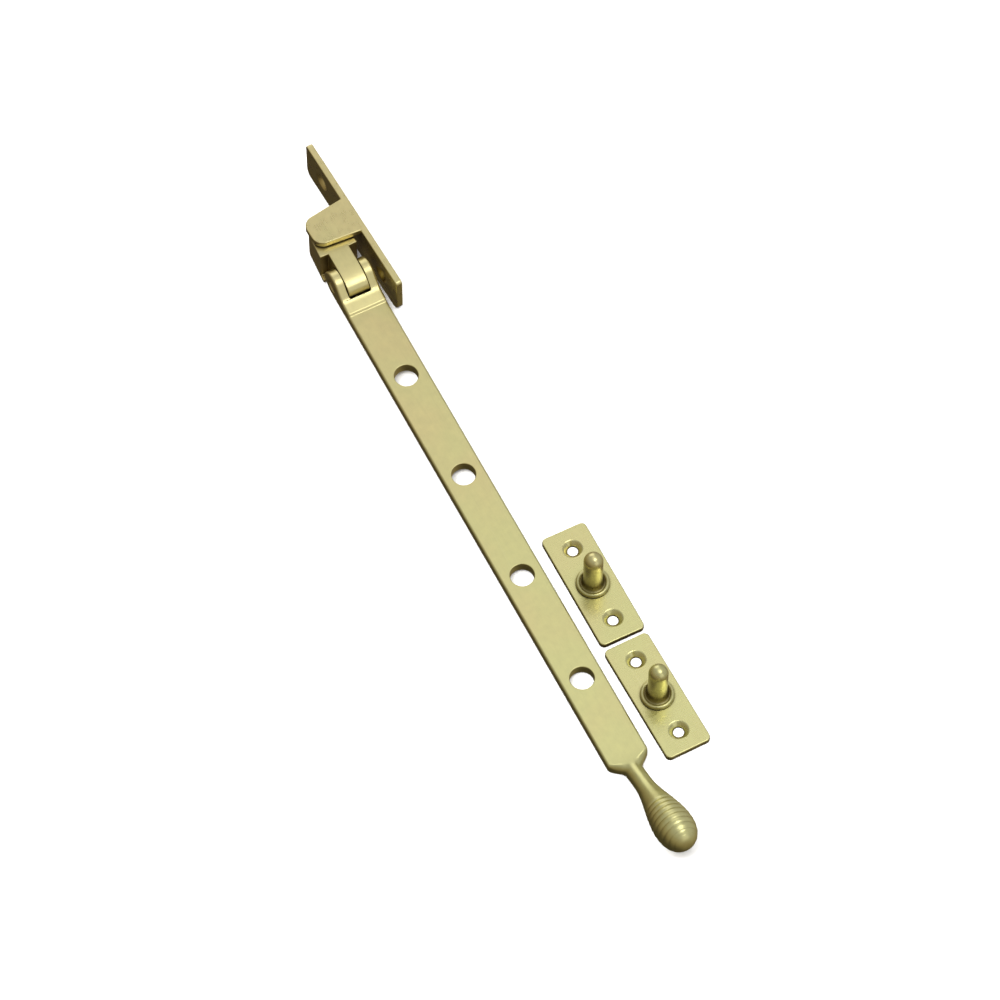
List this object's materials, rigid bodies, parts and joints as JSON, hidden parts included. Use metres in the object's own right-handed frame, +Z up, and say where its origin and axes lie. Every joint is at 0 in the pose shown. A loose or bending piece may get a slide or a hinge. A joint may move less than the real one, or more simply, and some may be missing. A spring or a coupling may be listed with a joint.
{
  "type": "casement window stay",
  "caption": "Casement window stay: sash bracket with a swivel knuckle, lifting perforated arm with a reeded knob, and two loose stay pegs.",
  "frame": {"origin": "centre of the bracket's flat back face, the face that is screwed to the sash", "axes": "+Y out of the bracket's back face into the sash, +X along the bracket's plate towards the knob, +Z up from the surface that the stay lies on"},
  "size_m": [0.2935, 0.0399, 0.0208],
  "materials": {
    "bracket_brass": "satin, lightly brushed",
    "rivet_brass": "plain turned",
    "knuckle_brass": "satin",
    "arm_brass": "satin, lightly brushed",
    "peg_plate_brass": "satin, lightly brushed",
    "peg_pin_brass": "satin, turned"
  },
  "bodies": {
    "bracket": {"mounting_bracket": "bracket_brass", "swivel_rivet": "rivet_brass"},
    "knuckle": {"swivel_washer": "rivet_brass", "swivel_knuckle": "knuckle_brass"},
    "arm": {"stay_arm": "arm_brass", "hinge_pin": "rivet_brass"},
    "peg_1": {"peg_plate_1": "peg_plate_brass", "peg_pin_1": "peg_pin_brass"},
    "peg_2": {"peg_plate_2": "peg_plate_brass", "peg_pin_2": "peg_pin_brass"}
  },
  "joints": [
    {"name": "swivel", "type": "hinge", "parent": "bracket", "child": "knuckle", "pos_m": [0, -0.0116, 0.0003], "axis": [0, 0, -1], "range_deg": [0, 175]},
    {"name": "arm_lift", "type": "hinge", "parent": "knuckle", "child": "arm", "pos_m": [0.01789, -0.0123, 0.0003], "axis": [-0.0393, -0.9992, 0], "range_deg": [-90, 110]},
    {"name": "peg_1_lift", "type": "slide", "parent": "bracket", "child": "peg_1", "axis": [0, 0, 1], "range_m": [0, 0.06]},
    {"name": "peg_2_lift", "type": "slide", "parent": "bracket", "child": "peg_2", "axis": [0, 0, 1], "range_m": [0, 0.06]}
  ]
}
